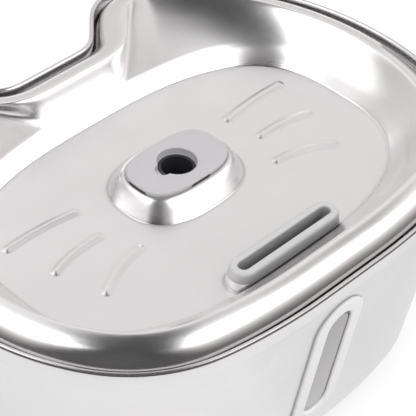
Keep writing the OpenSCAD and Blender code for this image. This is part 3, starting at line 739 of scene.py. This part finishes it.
def bowl_ring(d, t, fade_t=26, fade_y=-15, fade_run=55, back_in=22):
    """The bowl's section t below the rim, d in from the outline. From fade_t down and from fade_y
    back, it changes smoothly to an oval, whose back lies back_in further in than the ears."""
    fade = 0 if t < fade_t else min(1, (t - fade_t) / (DEPTH - STEEL - fade_t)) ** 1.4
    u = np.clip((RIM[:, 1] - fade_y) / fade_run, 0, 1)
    share = (fade * u * u * (3 - 2 * u))[:, None]
    size = (BOWL_W / 2, HALF_DEPTH - back_in + d * 0.1 + HEEL_IN, 2.6)
    return lift(mix(RIM - d * OUT, oval(size, -d, np.zeros(2), BOWL_ANGLE), share), BOWL_H - t)


def bowl_side(grow, heel_r):
    """Places in and down, up one side of the wall, from the heel to under the ledge. grow moves
    them in."""
    low = DEPTH - (BASE_R - heel_r)
    heel = [(HEEL_IN + grow + heel_r * (1 - math.cos(a)), low - heel_r * (1 - math.sin(a)))
            for a in np.radians(np.linspace(90, 4, 12))]
    wall = [(wall_in(t) + grow, t) for t in np.linspace(WALL_END, WALL_TOP, 14)]
    return heel + wall


def bowl_rows():
    """Up the outside from the middle of the base, over the rolled edge, and down the inside."""
    step = rounded([(wall_in(WALL_TOP), WALL_TOP), (wall_in(9.9), 9.9), (COLLAR_IN, LEDGE_T + 0.2),
                    (COLLAR_IN, 2.2)], [1.0, 0.9])[1:-1]
    bead = [(BEAD_R * (1 - math.cos(a)), BEAD_R * (1 - math.sin(a)))
            for a in np.radians(np.linspace(-84, 180, 20))]
    inner = COLLAR_IN + STEEL
    ledge = rounded([bead[-1], (inner, LEDGE_T), (inner + LEDGE_W, LEDGE_T),
                     (wall_in(WALL_TOP) + STEEL, WALL_TOP)], [1.0, 0.8])[1:-1]
    outside = bowl_side(0, BASE_R) + list(step) + bead
    inside = list(ledge) + bowl_side(STEEL, BASE_R - STEEL)[::-1]
    rings = [bowl_ring(d, t) for d, t in outside + inside]
    base = [rings[0] * [s, s, 1] for s in (0.15, 0.4, 0.7, 0.9)]
    floor = [rings[-1] * [s, s, 1] for s in (0.9, 0.7, 0.4, 0.15)]
    return np.array(base + rings + floor)


def on_wall(y_edge, facing, t):
    """Moves a shape drawn flat onto the outside of a leaning wall: its X runs up the wall and
    its Z points out of it. facing is -1 at the front and 1 at the back."""
    up = np.array([0, facing * math.sin(LEAN), math.cos(LEAN)])
    out = np.array([0, facing * math.cos(LEAN), -math.sin(LEAN)])
    across = np.array([-facing, 0, 0])
    place = np.array([0, y_edge - facing * wall_in(t), BOWL_H - t])
    return lambda p: place + p[:, :1] * up + p[:, 1:2] * across + p[:, 2:] * out


# The window's frame fills the flat of the wall, from under the ledge to the heel, but for a gap.
FLAT_TOP, FLAT_END = LEDGE_T + 1.6, DEPTH - BASE_R
FRAME_HALF = (FLAT_END - FLAT_TOP) / math.cos(LEAN) / 2 - FRAME_R - FRAME_GAP
on_front = on_wall(FRONT_Y, -1, (FLAT_TOP + FLAT_END) / 2)
on_back = on_wall(RIM[len(RIM) // 2, 1], 1, GLAND_T)

make_piece("bowl_shell", bowl_rows(), bowl_steel, "base", replaces="bowl", slot="bowl_steel",
           caps=(0, -1), crease=50,
           cutters=[sweep(FRAME_HALF, [(TONGUE_R, -5), (TONGUE_R, 5)], on_front),
                    sweep(0.001, [(GLAND_R, -5), (GLAND_R, 5)], on_back)])

# ---- window ----
FRAME = rounded([(TONGUE_R, -4.2), (TONGUE_R, -0.7), (FRAME_R, -0.7), (FRAME_R, 1.3), (6.9, 1.45),
                 (6.3, 0.7), (6.3, -0.4), (SIGHT_R, -0.4), (SIGHT_R, -4.2)],
                [0, 0, 1.3, 0.6, 0.3, 0, 0], 8)
make_piece("window_bezel", sweep(FRAME_HALF, FRAME, on_front), frame_plastic, "base",
           replaces="window_frame", slot="frame_plastic", along=True)
LENS = rounded([(SIGHT_R, -2.2), (SIGHT_R, -0.2), (5.75, -0.2), (5.75, 0.5), (3, 0.6)], [0, 0, 0.3])
make_piece("window_pane", sweep(FRAME_HALF - 1.2, LENS, on_front), lens_plastic, "base",
           replaces="window_lens", slot="lens_plastic", caps=(0, -1))


# ---- stage, in metres ----
AIM = Vector((0, 0, 0.1))
ONE_FACE = [(0, 1, 2, 3)]


def sheet_faces(m, n):
    """Quads of an open grid of m rows of n points."""
    return [(k * n + i, k * n + i + 1, k * n + n + i + 1, k * n + n + i)
            for k in range(m - 1) for i in range(n - 1)]


def stage_piece(name, points, faces, material):
    """A mesh that isn't part of the fountain."""
    mesh = bpy.data.meshes.new(name)
    mesh.from_pydata(points, [], faces)
    mesh.materials.append(material)
    piece = bpy.data.objects.new(name, mesh)
    scene.collection.objects.link(piece)
    return piece


def make_floor(reach=3, glow=0.42):
    """A wide pale floor that looks white and keeps the object's shadow."""
    finish = Finish("floor_white", colour=(0.6, 0.6, 0.6), Roughness=0.9, Specular_IOR_Level=0)
    finish.feed("Emission Color", (1, 1, 1, 1))
    finish.feed("Emission Strength", finish.seen() * glow)
    corners = [(-reach, -reach, 0), (reach, -reach, 0), (reach, reach, 0), (-reach, reach, 0)]
    stage_piece("floor", corners, ONE_FACE, finish.material)


def make_world(light=0.65):
    """A white surround for the eye and for reflections, and a softer one that lights the object."""
    world = bpy.data.worlds.new("studio")
    scene.world = world
    world.use_nodes = True
    nodes = Nodes(world.node_tree)
    background = world.node_tree.nodes["Background"]
    nodes.link(background.inputs["Color"], (1, 1, 1, 1))
    nodes.link(background.inputs["Strength"], nodes.seen() * (1 - light) + light)


def toward(azimuth, elevation, distance):
    """A point at a distance from AIM, the middle of the tray, in a direction given in degrees."""
    a, e = math.radians(azimuth), math.radians(elevation)
    out = Vector((math.cos(a) * math.cos(e), math.sin(a) * math.cos(e), math.sin(e)))
    return out * distance + AIM


def make_softbox(name, azimuth, elevation, distance, width, height, glow):
    """A soft lamp that faces the tray. glow is how bright its face looks."""
    data = bpy.data.lights.new(name, "AREA")
    data.shape = "RECTANGLE"
    data.size, data.size_y = width, height
    data.energy = glow * math.pi * width * height
    lamp = bpy.data.objects.new(name, data)
    lamp.location = toward(azimuth, elevation, distance)
    lamp.rotation_euler = (AIM - lamp.location).to_track_quat("-Z", "Y").to_euler()
    scene.collection.objects.link(lamp)


def make_card(name, points, faces, glow, tint=(1, 0.97, 0.965)):
    """A card that only reflections see. glow is how bright it looks at each of its points."""
    finish = Finish(name)
    strength = finish.node("ShaderNodeAttribute", {"attribute_name": "glow"}, {}, "Fac")
    shader = finish.node("ShaderNodeEmission", {}, {"Color": (*tint, 1), "Strength": strength})
    finish.link(finish.tree.nodes["Material Output"].inputs["Surface"], shader)
    card = stage_piece(name, points, faces, finish.material)
    card.data.attributes.new("glow", "FLOAT", "POINT").data.foreach_set("value", np.float32(glow))
    card.visible_camera = card.visible_diffuse = card.visible_shadow = False
    card.visible_transmission = card.visible_volume_scatter = False


def make_dark_band(gap=12, left=-136, peak=-142, spread=12):
    """A low dark band close round the front of the rim, which the rolled rim mirrors. Its middle is
    18 mm higher towards the left, as (1 + cos) / 2 of the angle from there, and 45 mm higher at the
    peak, as exp(-(angle / spread)^2). Away from the peak its upper edge fades to white."""
    azimuth = np.degrees(np.arctan2(*RIM[::4].T[::-1]))
    front = RIM[::4][azimuth < 0] + gap * OUT[::4][azimuth < 0]
    front = front[np.argsort(np.arctan2(*front.T[::-1]))]
    azimuth = np.degrees(np.arctan2(*front.T[::-1]))
    near = (1 + np.cos(np.radians(azimuth - left))) / 2
    middle = BOWL_H + 18 * near + 45 * np.exp(-((azimuth - peak) / spread) ** 2)
    fade = np.clip((np.abs(azimuth - peak) - 10) / spread, 0, 1)
    tops = [np.full(len(front), BOWL_H - 12), middle - 8, middle - 2, middle + 5, middle + 12]
    glows = [dark + light * fade for dark, light in
             ((0.12, 0.1), (0.03, 0.07), (0.02, 0.28), (0.02, 0.7), (0.02, 1.18))]
    points = np.concatenate([lift(front, z) for z in tops]) * MM
    make_card("dark_band", points.tolist(), sheet_faces(len(tops), len(front)), np.concatenate(glows))


def make_floor_shade():
    """A slightly darker sheet of painted shadow on the floor at the front right, which only the bowl
    mirrors.
    """
    xs, ys = (0, 0.05, 0.12, 0.2), (-0.15, -0.115, -0.085, -0.055)
    points = [(x, y, 0.0005) for y in ys for x in xs]
    make_card("floor_shade", points, sheet_faces(4, 4), [1] * 4 + [1, 0.92, 0.9, 0.9] * 3,
              tint=(1, 1, 1))


make_floor()
make_world()
make_softbox("left_softbox", 168, 54, 1.2, 1.15, 0.9, 1.45)
make_softbox("front_softbox", -65, 44, 1.2, 1.5, 1.2, 1.4)
make_card("overhead_gap", [(0.62, 0.58, 1.1), (-0.5, 0.0, 1.1), (-0.6, -0.6, 1.1), (0.0, -0.68, 1.1)],
          ONE_FACE, [0.01] * 4)
make_card("camera_gap", [toward(a, e, 1.3) for a, e in ((-165, 56), (-105, 56), (-105, -3), (-165, -3))],
          ONE_FACE, [0.12] * 4)
make_card("right_gap", [toward(a, e, 1.35) for e in (42, 50, 55, 63) for a in (-34, -16, 8, 24)],
          sheet_faces(4, 4), [1] * 4 + [1, 0.35, 0.35, 1] * 2 + [1] * 4)
make_card("back_wall",
          [toward(a, e, 1.6) for e in (-5, 28, 42) for a in (-20, 0, 30, 60, 90, 115, 138, 152)],
          sheet_faces(3, 8), [1, 0.76, 0.76, 0.76, 0.76, 0.7, 0.6, 1] * 2 + [1] * 5 + [0.75, 0.75, 1])
make_dark_band()
make_floor_shade()
scene.view_settings.view_transform = "Standard"
